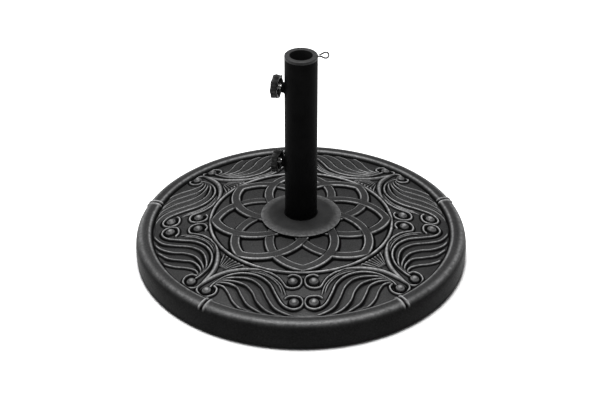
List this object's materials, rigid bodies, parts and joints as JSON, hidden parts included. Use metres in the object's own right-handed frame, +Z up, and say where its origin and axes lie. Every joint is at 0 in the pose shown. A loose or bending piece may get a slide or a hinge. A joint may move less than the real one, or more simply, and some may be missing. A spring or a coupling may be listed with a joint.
{
  "type": "parasol base",
  "caption": "Round weighted parasol base with a moulded scroll relief and a rounded rim, a steel stem tube on a domed flange, star-knob clamp screws and a lift-off reducer cap.",
  "frame": {"origin": "on the ground at the centre of the disc", "axes": "+Z up along the pole, +X towards the eye pin's side, -Y towards the front"},
  "size_m": [0.5, 0.5, 0.3382],
  "materials": {
    "shell_resin": "charcoal grained resin, ridges rubbed lighter",
    "concrete": "cast concrete",
    "cover_plastic": "grained black plastic",
    "zinc_steel": "zinc plated",
    "foot_rubber": "matt",
    "stem_paint": "satin black paint",
    "plate_paint": "fine-textured charcoal powder coat",
    "cap_plastic": "matt black plastic",
    "knob_plastic": "satin black plastic",
    "bright_screw": "bright plated",
    "coated_wire": "black coated spring wire",
    "pad_nylon": "natural nylon"
  },
  "bodies": {
    "base": {"relief_shell": "shell_resin", "concrete_ballast": "concrete", "bottom_cover": "cover_plastic", "access_plug": "cover_plastic", "cover_screws": "zinc_steel", "rubber_feet": "foot_rubber", "anchor_bolt": "zinc_steel", "anchor_washer": "zinc_steel", "spring_washer": "zinc_steel", "tube_plug": "stem_paint", "anchor_nut": "zinc_steel", "flange_plate": "plate_paint", "foot_weld": "stem_paint", "stem_tube": "stem_paint", "upper_weld_nut": "stem_paint", "lower_weld_nut": "stem_paint"},
    "cap": {"reducer_cap": "cap_plastic"},
    "pin": {"eye_pin": "coated_wire"},
    "upper_pad": {"upper_tip_pad": "pad_nylon"},
    "upper_knob": {"upper_knob_head": "knob_plastic", "upper_knob_screw": "bright_screw"},
    "lower_pad": {"lower_tip_pad": "pad_nylon"},
    "lower_knob": {"lower_knob_head": "knob_plastic", "lower_knob_screw": "bright_screw"}
  },
  "joints": [
    {"name": "upper_knob_feed", "type": "slide", "parent": "base", "child": "upper_pad", "axis": [0.9511, -0.309, 0], "range_m": [-0.00063, 0.00626]},
    {"name": "upper_knob_turn", "type": "hinge", "parent": "upper_pad", "child": "upper_knob", "pos_m": [0, 0, 0.277], "axis": [0.9511, -0.309, 0], "range_deg": [-180, 1800]},
    {"name": "lower_knob_feed", "type": "slide", "parent": "base", "child": "lower_pad", "axis": [0.9511, -0.309, 0], "range_m": [-0.00063, 0.00626]},
    {"name": "lower_knob_turn", "type": "hinge", "parent": "lower_pad", "child": "lower_knob", "pos_m": [0, 0, 0.153], "axis": [0.9511, -0.309, 0], "range_deg": [-180, 1800]},
    {"name": "cap_lift", "type": "slide", "parent": "base", "child": "cap", "axis": [0, 0, 1], "range_m": [0, 0.05]},
    {"name": "pin_pull", "type": "slide", "parent": "cap", "child": "pin", "axis": [1, 0, 0], "range_m": [0, 0.012]}
  ],
  "couplings": [
    {"joint": "upper_knob_feed", "follows": "upper_knob_turn", "m_per_rad": 0.00019894},
    {"joint": "lower_knob_feed", "follows": "lower_knob_turn", "m_per_rad": 0.00019894}
  ]
}
